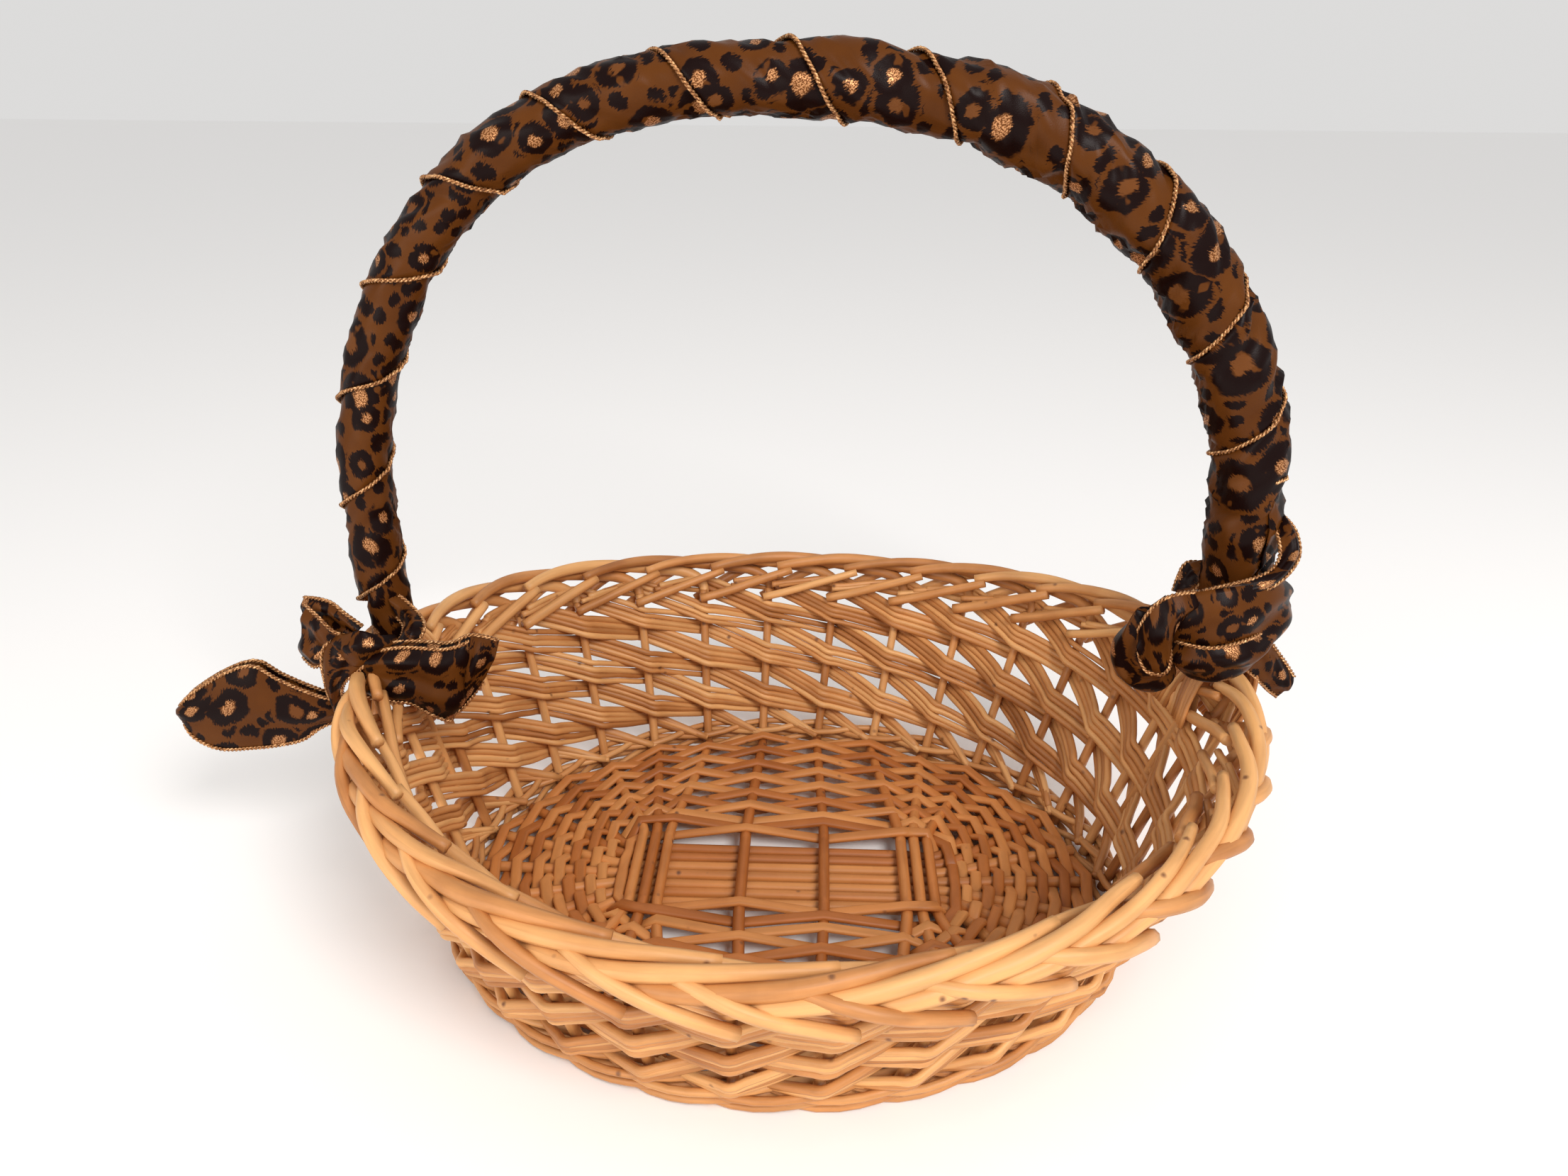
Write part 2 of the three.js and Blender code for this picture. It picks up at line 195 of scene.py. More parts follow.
def willow_finish(name, tints, knot_tint, roughness, knots):
    """Peeled willow: a tint for each rod, streaked along its fibres and dotted with knots."""
    finish = bpy.data.materials.new(name)
    finish.use_nodes = True
    nodes, links = finish.node_tree.nodes, finish.node_tree.links
    shader = nodes["Principled BSDF"]
    grain = nodes.new("ShaderNodeGroup")
    grain.node_tree = willow_grain
    grain.inputs["Knots"].default_value = knots
    rod = nodes.new("ShaderNodeAttribute")
    rod.attribute_name = "rod"
    tone = nodes.new("ShaderNodeMath")
    tone.operation = "MULTIPLY_ADD"
    tone.inputs[1].default_value = 0.55
    links.new(grain.outputs["Blotch"], tone.inputs[0])
    half = nodes.new("ShaderNodeMath")
    half.operation = "MULTIPLY_ADD"
    half.inputs[1].default_value = 0.62
    half.inputs[2].default_value = -0.08
    links.new(rod.outputs["Fac"], half.inputs[0])
    links.new(half.outputs[0], tone.inputs[2])
    tint = colour_steps(nodes, tints)
    links.new(tone.outputs[0], tint.inputs["Fac"])
    streak = nodes.new("ShaderNodeMapRange")
    streak.inputs["From Min"].default_value = 0.35
    streak.inputs["From Max"].default_value = 0.7
    streak.inputs["To Min"].default_value = 1.06
    streak.inputs["To Max"].default_value = 0.8
    links.new(grain.outputs["Fibre"], streak.inputs["Value"])
    fibred = nodes.new("ShaderNodeVectorMath")
    fibred.operation = "SCALE"
    links.new(tint.outputs["Color"], fibred.inputs[0])
    links.new(streak.outputs[0], fibred.inputs["Scale"])
    knotted = nodes.new("ShaderNodeMix")
    knotted.data_type = "RGBA"
    knotted.inputs["B"].default_value = (*knot_tint, 1)
    links.new(grain.outputs["Knot"], knotted.inputs["Factor"])
    links.new(fibred.outputs[0], knotted.inputs["A"])
    links.new(knotted.outputs["Result"], shader.inputs["Base Color"])
    shader.inputs["Roughness"].default_value = roughness
    shader.inputs["Specular IOR Level"].default_value = 0.45
    bump = nodes.new("ShaderNodeBump")
    bump.inputs["Strength"].default_value = 0.35
    bump.inputs["Distance"].default_value = 0.0006
    links.new(grain.outputs["Fibre"], bump.inputs["Height"])
    links.new(bump.outputs[0], shader.inputs["Normal"])
    return finish


straw_willow = willow_finish(
    "straw_willow",
    ((0.12, (0.33, 0.115, 0.026)), (0.4, (0.53, 0.225, 0.068)), (0.75, (0.69, 0.355, 0.130))),
    (0.20, 0.08, 0.03), 0.5, 0.62)
honey_willow = willow_finish(
    "honey_willow",
    ((0.12, (0.33, 0.092, 0.013)), (0.45, (0.46, 0.150, 0.031)), (0.8, (0.61, 0.250, 0.070))),
    (0.15, 0.055, 0.02), 0.5, 0.6)

chance = random.Random(11)
BEND_STEPS = 4
ROD_SIDES = 8


def willow_piece(name, rods, finish, nodes, steps=BEND_STEPS, tint=None, flat=0.0,
                 bend="AUTO"):
    """One mesh from rods, each a list of points and one of radii, with metres along in UV x.
    A split rod is flat: its width is its thickness times one more than flat. A VECTOR
    bend is a sharp one."""
    ring = 14 if flat else ROD_SIDES
    curve = bpy.data.curves.new(name, "CURVE")
    curve.dimensions = "3D"
    curve.bevel_depth = 1.0
    curve.bevel_resolution = (ROD_SIDES - 4) // 2
    curve.extrude = flat
    curve.twist_mode = "Z_UP"
    curve.use_fill_caps = True
    lengths, side_loops = [], []
    for points, radii in rods:
        line = curve.splines.new("BEZIER")
        line.resolution_u = steps
        line.bezier_points.add(len(points) - 1)
        for knot, point, radius in zip(line.bezier_points, points, radii):
            knot.co = point
            knot.radius = radius
            knot.tilt = math.pi / 2
            knot.handle_left_type = knot.handle_right_type = bend
        rings = len(points) if bend == "VECTOR" else (len(points) - 1) * steps + 1
        lengths.append(sum((a - b).length for a, b in zip(points, points[1:])))
        side_loops.append((rings - 1) * ring * 4)
    former = bpy.data.objects.new(name, curve)
    bpy.context.collection.objects.link(former)
    depsgraph = bpy.context.evaluated_depsgraph_get()
    mesh = bpy.data.meshes.new_from_object(former.evaluated_get(depsgraph))
    bpy.data.objects.remove(former)
    mesh.name = name
    cap_loops = [2 * (ring - 2) * 3] * len(rods)

    def on_loops(values):
        """The caps come first, last rod to first, and then the sides in order."""
        return np.concatenate((
            np.repeat(values[::-1], cap_loops), np.repeat(values, side_loops))).astype(np.float32)

    unwrap = np.zeros(len(mesh.loops) * 2, np.float32)
    mesh.uv_layers[0].data.foreach_get("uv", unwrap)
    unwrap = unwrap.reshape(-1, 2)
    unwrap[:, 0] *= on_loops(lengths)
    mesh.uv_layers[0].data.foreach_set("uv", unwrap.ravel())
    shade = mesh.attributes.new("rod", "FLOAT", "CORNER")
    tints = [chance.random() if tint is None else tint for _ in rods]
    shade.data.foreach_set("value", on_loops(tints))
    solid = bmesh.new()
    solid.from_mesh(mesh)
    bmesh.ops.remove_doubles(solid, verts=solid.verts, dist=1e-6)
    solid.to_mesh(mesh)
    solid.free()
    mesh.materials.clear()
    mesh.materials.append(finish)
    piece = bpy.data.objects.new(name, mesh)
    bpy.context.collection.objects.link(piece)
    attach(piece, "root")
    if nodes:
        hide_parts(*nodes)
    return piece


# ---- Base sticks
# Seven long sticks under eight cross sticks, in threes at the ends and two
# singles between; each is a peeled rod whose ends fan out to the foot of the wall.
STICK_RADIUS = 0.0029
STICK_PITCH = 0.0066
CROSS_PLACES = (-0.0745, -0.0675, -0.0605, -0.0205, 0.0205, 0.0605, 0.0675, 0.0745)
CROSS_TINTS = (0.75, 0.15, 0.6, 0.02, 0.0, 0.55, 0.7, 0.5)
SLATH_LENGTH, SLATH_WIDTH = 0.080, 0.027
LONG_HEIGHT, CROSS_HEIGHT, FAN_HEIGHT = 0.0052, 0.0112, 0.0080
BASE_X = MIDDLE_X - FOOT_BACK


def stick_exit(stake):
    """Where the stick that ends at this stake leaves the crossed middle."""
    stake = (stake + 3) % STAKES - 3
    if stake <= 3:
        return Vector((BASE_X + SLATH_LENGTH, stake * STICK_PITCH, LONG_HEIGHT))
    if stake <= 11:
        return Vector((BASE_X + CROSS_PLACES[11 - stake], SLATH_WIDTH, CROSS_HEIGHT))
    if stake <= 18:
        return Vector((BASE_X - SLATH_LENGTH, (15 - stake) * STICK_PITCH, LONG_HEIGHT))
    return Vector((BASE_X + CROSS_PLACES[stake - 19], -SLATH_WIDTH, CROSS_HEIGHT))


def stick_foot(stake):
    foot = wall(stake, 0.06, -0.0075)
    foot.z = FAN_HEIGHT
    return foot


def stick_rod(first, second):
    ends = []
    for stake in (first, second):
        leave, foot = stick_exit(stake), stick_foot(stake)
        ends.append([foot, foot.lerp(leave, 0.5), leave])
    near, far = ends
    line = near + [near[2].lerp(far[2], 0.12), near[2].lerp(far[2], 0.88)] + far[::-1]
    line = [p + Vector((0, chance.uniform(-0.0004, 0.0004), 0)) for p in line]
    thick = STICK_RADIUS * chance.uniform(0.92, 1.02)
    return line, [thick * 0.9, thick, thick, thick, thick, thick, thick, thick * 0.9]


for index in range(7):
    line, radii = stick_rod(18 - index, (index - 3) % STAKES)
    willow_piece(
        f"long_stick_{index + 1}", [(line, radii)], honey_willow,
        [f"base_long_stick_{index + 1}"], steps=6)
for index in range(8):
    line, radii = stick_rod(19 + index, 11 - index)
    willow_piece(
        f"cross_stick_{index + 1}", [(line, radii)], honey_willow,
        [f"base_cross_stick_{index + 1}"], steps=6, tint=CROSS_TINTS[index])

# ---- Base weave
# Plain rows of one split rod each, over one stick and under the next, packed
# from the crossed middle out to the foot; the first rows take the sticks in groups.
BASE_ROWS = 14
ROW_RADIUS = 0.0015
ROW_FLATNESS = 0.95
ROW_SWING = 0.0040
STICK_GROUPS = [0] * 4 + [1] * 3 + [2, 3] + [4] * 3 + [5] * 7 + [6] * 3 + [7, 8] + [9] * 3 + [0] * 3
base_rows = []
for row in range(BASE_ROWS):
    share = 0.01 + 0.97 * row / (BASE_ROWS - 1)
    line, radii = [], []
    start = chance.randrange(STAKES)
    for step in range(STAKES + 2):
        stake = (start + step) % STAKES
        leave, foot = stick_exit(stake), stick_foot(stake)
        place = leave.lerp(foot, share)
        settle = min(1, share / 0.35)
        place.z = leave.z + (FAN_HEIGHT - leave.z) * settle
        order = STICK_GROUPS[stake] if row < 2 else stake
        up = 1 if (order + row) % 2 else -1
        close = 1 if row > 2 else 0.85
        place.z += up * ROW_SWING * close + chance.uniform(-0.0003, 0.0003)
        place.x += chance.uniform(-0.0005, 0.0005)
        place.y += chance.uniform(-0.0005, 0.0005)
        if step == STAKES + 1:
            place.z -= 0.001
        line.append(place)
        radii.append(ROW_RADIUS * chance.uniform(0.9, 1.08))
    base_rows.append((line, radii))
willow_piece(
    "base_rows", base_rows, honey_willow, ["base_weave"], flat=ROW_FLATNESS,
    bend="VECTOR")

# ---- Stakes
# Thirty upright rods that carry the wall, from the foot up into the border.
STAKE_RADIUS = 0.0025
STAKE_LEVELS = (0.035, 0.22, 0.42, 0.62, 0.78, 0.85)
for stake in range(STAKES):
    line = [wall(stake, level, chance.uniform(-0.0004, 0.0004))
            for level in STAKE_LEVELS]
    radii = [STAKE_RADIUS * (1.02 - 0.12 * level) for level in STAKE_LEVELS]
    willow_piece(
        f"stake_{stake + 1:02d}", [(line, radii)], straw_willow,
        [f"side_stake_{stake + 1:02d}"], steps=3)

# ---- Foot
# Two rounds of a three-rod wale: each thin rod goes outside two stakes and
# inside the third, and holds the base to the stakes.
FOOT_RADIUS = 0.0018
FOOT_OUT = 0.0044
foot_rods = []
for level, shift in ((0.035, 0), (0.100, 1)):
    for rod in range(3):
        line, radii = [], []
        for step in range(STAKES + 2):
            phase = (step + rod + shift) % 3
            out = -FOOT_OUT if phase == 0 else FOOT_OUT
            lift = (0, -0.0018, 0.0018)[phase]
            point = wall(step, level, out + chance.uniform(-0.0004, 0.0004))
            point.z += lift
            line.append(point)
            radii.append(FOOT_RADIUS * chance.uniform(0.92, 1.05))
        foot_rods.append((line, radii))
willow_piece("foot_rods", foot_rods, straw_willow, ["foot_wale"])

# ---- Wall weave
# Thirty groups of four thin rods, one started at each stake; every group climbs
# anticlockwise, outside one stake and inside the next, up to the border.
WEAVE_FROM, WEAVE_TO = 0.135, 0.865
CLIMB = 0.112
TUCK = 0.085
GROUP_RODS = 4
GROUP_SWING = 0.0062
WEAVER_RADIUS = 0.0018
WEAVE_BANDS = ["lower_weave_band", "middle_weave_band", "upper_weave_band"]
BEND_PLACES = (0.0, 0.16, 0.5, 0.84)
weave_places = [stake + bend for stake in range(-1, 8) for bend in BEND_PLACES]


def zigzag(place):
    """Inside at even stakes, outside at odd ones, straight between."""
    within = place % 2
    return 1 - 2 * abs(within - 1)


for group in range(STAKES):
    rods = []
    for rod in range(GROUP_RODS):
        line, radii = [], []
        seat = (rod + 0.5) / GROUP_RODS * CLIMB
        start = -0.85 - 0.15 * chance.random()
        end = 6.75 + chance.uniform(-0.3, 0.3)
        places = [start] + [p for p in weave_places if start + 0.1 < p < end - 0.1] + [end]
        swing = GROUP_SWING * chance.uniform(0.92, 1.08)
        thick = WEAVER_RADIUS * chance.uniform(0.86, 1.14)
        sag = chance.uniform(-0.003, 0.003)
        for along in places:
            level = min(WEAVE_FROM + seat + CLIMB * max(along, 0.6), WEAVE_TO + 0.3 * seat)
            if along < 0.6:
                level = TUCK + (level - TUCK) * ((along + 1.05) / 1.65) ** 1.15
            level += sag + chance.uniform(-0.0015, 0.0015)
            out = -swing * zigzag(along) + chance.uniform(-0.0003, 0.0003)
            line.append(wall(group + along, level, out))
            radii.append(thick * (1.05 - 0.015 * along))
        rods.append((line, radii))
    willow_piece(
        f"weave_group_{group + 1:02d}", rods, straw_willow, WEAVE_BANDS, steps=3)

# ---- Border
# The stakes' thick tops are laid down one over the next along the rim, with an
# outside stroke down to each stake and a cut end inside. Each path is a list of
# places past the stake, levels and distances out from the wall line.
RIM_PATH = [(-0.02, 0.80, 0.0005), (0.0, 0.87, 0.0045), (0.2, 0.915, 0.0070),
            (0.6, 0.945, 0.0068), (1.0, 0.97, 0.0055), (1.5, 1.0, 0.0034),
            (2.0, 1.015, 0.0002), (2.5, 1.01, -0.0038), (2.9, 0.99, -0.0064)]
RIM_TAPER = (0.7, 0.85, 1, 1.05, 1.05, 1, 0.95, 0.85, 0.75)
OUTSIDE_PATH = [(-0.45, 0.985, 0.0035), (-0.1, 0.965, 0.0085), (0.3, 0.92, 0.0118),
                (0.7, 0.85, 0.0116), (1.1, 0.765, 0.0106)]
OUTSIDE_TAPER = (0.85, 1, 1, 0.97, 0.95)
INSIDE_PATH = [(0.1, 0.835, -0.0080), (-0.3, 0.87, -0.0086), (-0.8, 0.925, -0.0090),
               (-1.3, 0.975, -0.0070)]
INSIDE_TAPER = (1, 1, 0.97, 0.9)
RIM_THICK, OUTSIDE_THICK, INSIDE_THICK = 0.0033, 0.0030, 0.0027
border_rods = []
for stake in range(STAKES):
    jitter = [chance.uniform(-0.0007, 0.0007) for _ in range(9)]
    thick = RIM_THICK * chance.uniform(0.9, 1.12)
    line = [wall(stake + along, level, out + wobble)
            for (along, level, out), wobble in zip(RIM_PATH, jitter)]
    border_rods.append((line, [thick * share for share in RIM_TAPER]))
    thick = OUTSIDE_THICK * chance.uniform(0.88, 1.12)
    line = [wall(stake + along + jitter[0] * 30, level, out + wobble * 0.5)
            for (along, level, out), wobble in zip(OUTSIDE_PATH, jitter)]
    border_rods.append((line, [thick * share for share in OUTSIDE_TAPER]))
    thick = INSIDE_THICK * chance.uniform(0.88, 1.12)
    line = [wall(stake + along + jitter[1] * 40, level, out + wobble * 0.5)
            for (along, level, out), wobble in zip(INSIDE_PATH, jitter)]
    border_rods.append((line, [thick * share for share in INSIDE_TAPER]))
willow_piece("rim_border", border_rods, straw_willow, ["border"])

# ---- Handle
# One thick rod bent into an arch, its two slim ends driven down inside the
# wall, with five thin rods roped round it above the border.
HANDLE_DEPTH = 0.0175
ARCH_HALF, ARCH_RISE, ARCH_BULGE, ARCH_SQUARENESS = 0.201, 0.263, 0.0045, 2.45
ARCH_LEAN, ARCH_LEAN_LIFT = 0.0086, 0.002
ARCH_STEPS = 18


def leg_point(side, level):
    point = wall(0.5 if side > 0 else STAKES / 2 - 0.5, level)
    point.y = HANDLE_DEPTH
    return point


def arch_point(turn):
    side = math.copysign(1, math.cos(turn))
    rise = math.sin(turn) ** (2 / ARCH_SQUARENESS)
    across = side * abs(math.cos(turn)) ** (2 / ARCH_SQUARENESS)
    lean = math.sin(turn) ** 2 * (1 - math.cos(turn))
    bulge = ARCH_BULGE * math.sin(math.pi * rise) * side - ARCH_LEAN * lean
    return Vector((
        MIDDLE_X + ARCH_HALF * across + bulge, HANDLE_DEPTH,
        WALL_HEIGHT + ARCH_RISE * rise + ARCH_LEAN_LIFT * lean))


def smooth_line(points, steps):
    """A denser line through the points, with an even spacing between them."""
    line = []
    padded = [points[0] * 2 - points[1], *points, points[-1] * 2 - points[-2]]
    for before, start, end, after in zip(padded, padded[1:], padded[2:], padded[3:]):
        span = (end - start).length
        lead = (end - before) * (span / ((end - start).length + (start - before).length))
        trail = (after - start) * (span / ((after - end).length + (end - start).length))
        for step in range(steps):
            t = step / steps
            line.append(
                start * (2 * t**3 - 3 * t**2 + 1) + lead * (t**3 - 2 * t**2 + t)
                + end * (3 * t**2 - 2 * t**3) + trail * (t**3 - t**2))
    return line + [points[-1]]


leg_levels = (0.3, 0.5, 0.7, 0.86, 1.0)
handle_points = [leg_point(-1, level) for level in leg_levels]
handle_points += [arch_point(math.pi * (1 - k / ARCH_STEPS)) for k in range(2, ARCH_STEPS - 1)]
handle_points += [leg_point(1, level) for level in reversed(leg_levels)]
handle_line = smooth_line(handle_points, 24)
handle_steps = np.array([(b - a).length for a, b in zip(handle_line, handle_line[1:])])
handle_reach = np.concatenate(([0], np.cumsum(handle_steps)))
HANDLE_LENGTH = handle_reach[-1]
handle_table = np.array(handle_line)
BACKWARD = Vector((0, 1, 0))


def handle_place(distance):
    """Centre and outward direction of the handle, so far along it from its left tip."""
    at = [Vector([np.interp(distance + d, handle_reach, handle_table[:, i]) for i in range(3)])
          for d in (-0.004, 0, 0.004)]
    outward = (at[2] - at[0]).normalized().cross(BACKWARD).normalized()
    return at[1], outward


def round_handle(distance, angle, radius):
    centre, outward = handle_place(distance)
    return centre + outward * (radius * math.cos(angle)) + BACKWARD * (radius * math.sin(angle))


CORE_SHARES = [0.0, 0.04, 0.083, 0.1] + [0.1 + 0.05 * k for k in range(1, 16)] + [0.9, 0.917, 0.96, 1.0]
core_radii = [0.0026, 0.0028, 0.0028, 0.005] + [0.005] * 15 + [0.005, 0.0028, 0.0028, 0.0026]
core_line = [handle_place(share * HANDLE_LENGTH)[0] for share in CORE_SHARES]
willow_piece("handle_rod", [(core_line, core_radii)], straw_willow, ["handle_core"])

ROPING_RODS, ROPING_TURNS, ROPING_STEPS = 5, 11, 120
ROPING_FROM, ROPING_TO = 0.118, 0.882
ROPING_OUT, ROPING_RADIUS = 0.0064, 0.0014
roping = []
for rod in range(ROPING_RODS):
    line = []
    for step in range(ROPING_STEPS + 1):
        share = ROPING_FROM + (ROPING_TO - ROPING_FROM) * step / ROPING_STEPS
        turn = ROPING_TURNS * step / ROPING_STEPS + rod / ROPING_RODS
        line.append(round_handle(share * HANDLE_LENGTH, -2 * math.pi * turn, ROPING_OUT))
    roping.append((line, [ROPING_RADIUS] * len(line)))
willow_piece("handle_ropes", roping, straw_willow, ["handle_roping"], steps=2)

# Thin split willow crossed over the border ties each handle foot down. Its path,
# given as the border's are, runs from outside the wall, over the rim, to inside.
LASHING_PATH = [(0.30, 0.74, 0.0125), (0.24, 0.84, 0.0160), (0.12, 0.96, 0.0155),
                (0.03, 1.045, 0.0095), (-0.03, 1.07, 0.0000), (-0.10, 1.03, -0.0090),
                (-0.22, 0.92, -0.0130), (-0.32, 0.80, -0.0115)]
LASHING_STRIPS, LASHING_PITCH, LASHING_RADIUS = 7, 0.085, 0.0012
lashing = []
for foot in (0.5, STAKES / 2 - 0.5):
    for strip in range(LASHING_STRIPS):
        for lean in (-1, 1):
            middle = foot + (strip - LASHING_STRIPS // 2) * LASHING_PITCH
            line = [wall(middle + lean * along, level, out + 0.0004 * lean)
                    for along, level, out in LASHING_PATH]
            lashing.append((line, [LASHING_RADIUS] * len(line)))
willow_piece("handle_lashing", lashing, straw_willow, None, steps=3)

# ---- Ribbon wrap
# A 63 mm satin ribbon with a spotted print, wound in 14 overlapping turns from
# the left foot of the handle to the right one, thickest at the right shoulder.
RIBBON_WIDTH = 0.063
WRAP_TURNS = 14.0
WRAP_FROM, WRAP_TO = 0.101 * HANDLE_LENGTH, 0.868 * HANDLE_LENGTH
WRAP_OVERLAY = 0.0014
WRAP_PITCH = (WRAP_TO - WRAP_FROM - 0.066) / (WRAP_TURNS - 1.0)
WRAP_MEAN_RADIUS = 0.0138
WRAP_GIRTH = 2 * math.pi * WRAP_MEAN_RADIUS
WRAP_TURN_LENGTH = math.hypot(WRAP_GIRTH, WRAP_PITCH)
WRAP_AXIAL = RIBBON_WIDTH * WRAP_TURN_LENGTH / WRAP_GIRTH
WRAP_SHARES, WRAP_RADII = (0.14, 0.3, 0.5, 0.68, 0.86), (0.0097, 0.0104, 0.0120, 0.0146, 0.0134)
CRUMPLE_SHARES, CRUMPLES = (0.14, 0.45, 0.6, 0.86), (0.8, 1.1, 2.0, 1.5)
WRAP_START_ANGLE = -1.2
PRINT_STRETCH = 0.82
CLOTH_THICKNESS = 0.0004


def ribbon_print_group():
    """Broken dark rosettes with pale or glittering middles on bronze brown."""
    group = bpy.data.node_groups.new("spotted_print", "ShaderNodeTree")
    for name, kind in (("Colour", "NodeSocketColor"), ("Glitter", "NodeSocketFloat"),
                       ("Height", "NodeSocketFloat")):
        group.interface.new_socket(name, in_out="OUTPUT", socket_type=kind)
    nodes, links = group.nodes, group.links
    leave = nodes.new("NodeGroupOutput")
    cloth = nodes.new("ShaderNodeUVMap")
    cloth.uv_map = "UVMap"

    def noise(scale, detail, source=cloth.outputs["UV"]):
        node = nodes.new("ShaderNodeTexNoise")
        node.inputs["Scale"].default_value = scale
        node.inputs["Detail"].default_value = detail
        links.new(source, node.inputs["Vector"])
        return node

    def ramp(value, low, high, bottom=0.0, top=1.0):
        node = nodes.new("ShaderNodeMapRange")
        node.interpolation_type = "SMOOTHSTEP"
        for name, number in (("From Min", low), ("From Max", high), ("To Min", bottom), ("To Max", top)):
            node.inputs[name].default_value = number
        links.new(value, node.inputs["Value"])
        return node.outputs[0]

    def times(first, second, operation="MULTIPLY"):
        node = nodes.new("ShaderNodeMath")
        node.operation = operation
        for socket, value in zip(node.inputs, (first, second)):
            if isinstance(value, (int, float)):
                socket.default_value = value
            else:
                links.new(value, socket)
        return node.outputs[0]

    def mix(factor, first, second):
        node = nodes.new("ShaderNodeMix")
        node.data_type = "RGBA"
        links.new(factor, node.inputs["Factor"])
        for name, value in (("A", first), ("B", second)):
            if isinstance(value, tuple):
                node.inputs[name].default_value = (*value, 1)
            else:
                links.new(value, node.inputs[name])
        return node.outputs["Result"]

    sway = nodes.new("ShaderNodeVectorMath")
    sway.operation = "MULTIPLY_ADD"
    sway.inputs[1].default_value = (0.006, 0.006, 0)
    links.new(noise(110, 3).outputs["Color"], sway.inputs[0])
    hair = nodes.new("ShaderNodeMapping")
    hair.inputs["Scale"].default_value = (1, 3.5, 1)
    links.new(cloth.outputs["UV"], hair.inputs["Vector"])
    fringe = nodes.new("ShaderNodeVectorMath")
    fringe.operation = "MULTIPLY_ADD"
    fringe.inputs[1].default_value = (0.0048, 0.0008, 0)
    links.new(noise(520, 2, hair.outputs[0]).outputs["Color"], fringe.inputs[0])
    links.new(cloth.outputs["UV"], fringe.inputs[2])
    links.new(fringe.outputs[0], sway.inputs[2])
    cells = nodes.new("ShaderNodeTexVoronoi")
    cells.voronoi_dimensions = "2D"
    cells.inputs["Scale"].default_value = 56
    cells.inputs["Randomness"].default_value = 0.8
    links.new(sway.outputs[0], cells.inputs["Vector"])
    parts = nodes.new("ShaderNodeSeparateColor")
    links.new(cells.outputs["Color"], parts.inputs["Color"])
    size = ramp(parts.outputs["Red"], 0, 1, 0.80, 1.35)
    reach = times(cells.outputs["Distance"], size)
    outer = ramp(reach, 0.40, 0.45, 1, 0)
    inner = ramp(reach, 0.13, 0.18)
    gap = ramp(noise(130, 2).outputs["Fac"], 0.33, 0.38)
    ring = times(times(outer, inner), gap)
    specks = nodes.new("ShaderNodeTexVoronoi")
    specks.voronoi_dimensions = "2D"
    specks.inputs["Scale"].default_value = 120
    links.new(sway.outputs[0], specks.inputs["Vector"])
    speck = times(ramp(specks.outputs["Distance"], 0.28, 0.34, 1, 0), ramp(reach, 0.5, 0.54))
    dark = times(ring, speck, "MAXIMUM")
    ground = mix(noise(45, 3).outputs["Fac"], (0.050, 0.013, 0.002), (0.120, 0.038, 0.006))
    middle = ramp(reach, 0.11, 0.17, 1, 0)
    printed = mix(middle, ground, (0.12, 0.040, 0.010))
    chosen = ramp(parts.outputs["Green"], 0.30, 0.32)
    sparkle = ramp(noise(1900, 2).outputs["Fac"], 0.47, 0.54)
    glitter = times(times(middle, chosen), sparkle)
    printed = mix(dark, printed, (0.0065, 0.0016, 0.0012))
    printed = mix(glitter, printed, (0.52, 0.25, 0.11))
    links.new(printed, leave.inputs["Colour"])
    links.new(glitter, leave.inputs["Glitter"])
    links.new(noise(2600, 1).outputs["Fac"], leave.inputs["Height"])
    return group


spotted_satin = bpy.data.materials.new("spotted_satin")
spotted_satin.use_nodes = True
satin_nodes, satin_links = spotted_satin.node_tree.nodes, spotted_satin.node_tree.links
satin = satin_nodes["Principled BSDF"]
satin_print = satin_nodes.new("ShaderNodeGroup")
satin_print.node_tree = ribbon_print_group()
satin_links.new(satin_print.outputs["Colour"], satin.inputs["Base Color"])
satin_shine = satin_nodes.new("ShaderNodeMath")
satin_shine.operation = "MULTIPLY"
satin_shine.inputs[1].default_value = 0.6
satin_links.new(satin_print.outputs["Glitter"], satin_shine.inputs[0])
satin_links.new(satin_shine.outputs[0], satin.inputs["Metallic"])
satin.inputs["Roughness"].default_value = 0.36
satin.inputs["Specular IOR Level"].default_value = 0.08
satin_bump = satin_nodes.new("ShaderNodeBump")
satin_bump.inputs["Strength"].default_value = 0.25
satin_bump.inputs["Distance"].default_value = 0.0002
satin_links.new(satin_print.outputs["Height"], satin_bump.inputs["Height"])
satin_links.new(satin_bump.outputs[0], satin.inputs["Normal"])

gold_thread = bpy.data.materials.new("gold_thread")
gold_thread.use_nodes = True
gold_nodes, gold_links = gold_thread.node_tree.nodes, gold_thread.node_tree.links
gold = gold_nodes["Principled BSDF"]
thread_place = gold_nodes.new("ShaderNodeTexCoord")
thread_noise = gold_nodes.new("ShaderNodeTexNoise")
thread_noise.inputs["Scale"].default_value = 900
gold_links.new(thread_place.outputs["Object"], thread_noise.inputs["Vector"])
thread_tint = colour_steps(gold_nodes, (
    (0.3, (0.11, 0.035, 0.010)), (0.5, (0.36, 0.16, 0.055)), (0.7, (0.78, 0.46, 0.22))))
gold_links.new(thread_noise.outputs["Fac"], thread_tint.inputs["Fac"])
gold_links.new(thread_tint.outputs["Color"], gold.inputs["Base Color"])
gold.inputs["Metallic"].default_value = 0.55
gold.inputs["Roughness"].default_value = 0.38


def noise_at(*place):
    return noise_field.noise(Vector(place))


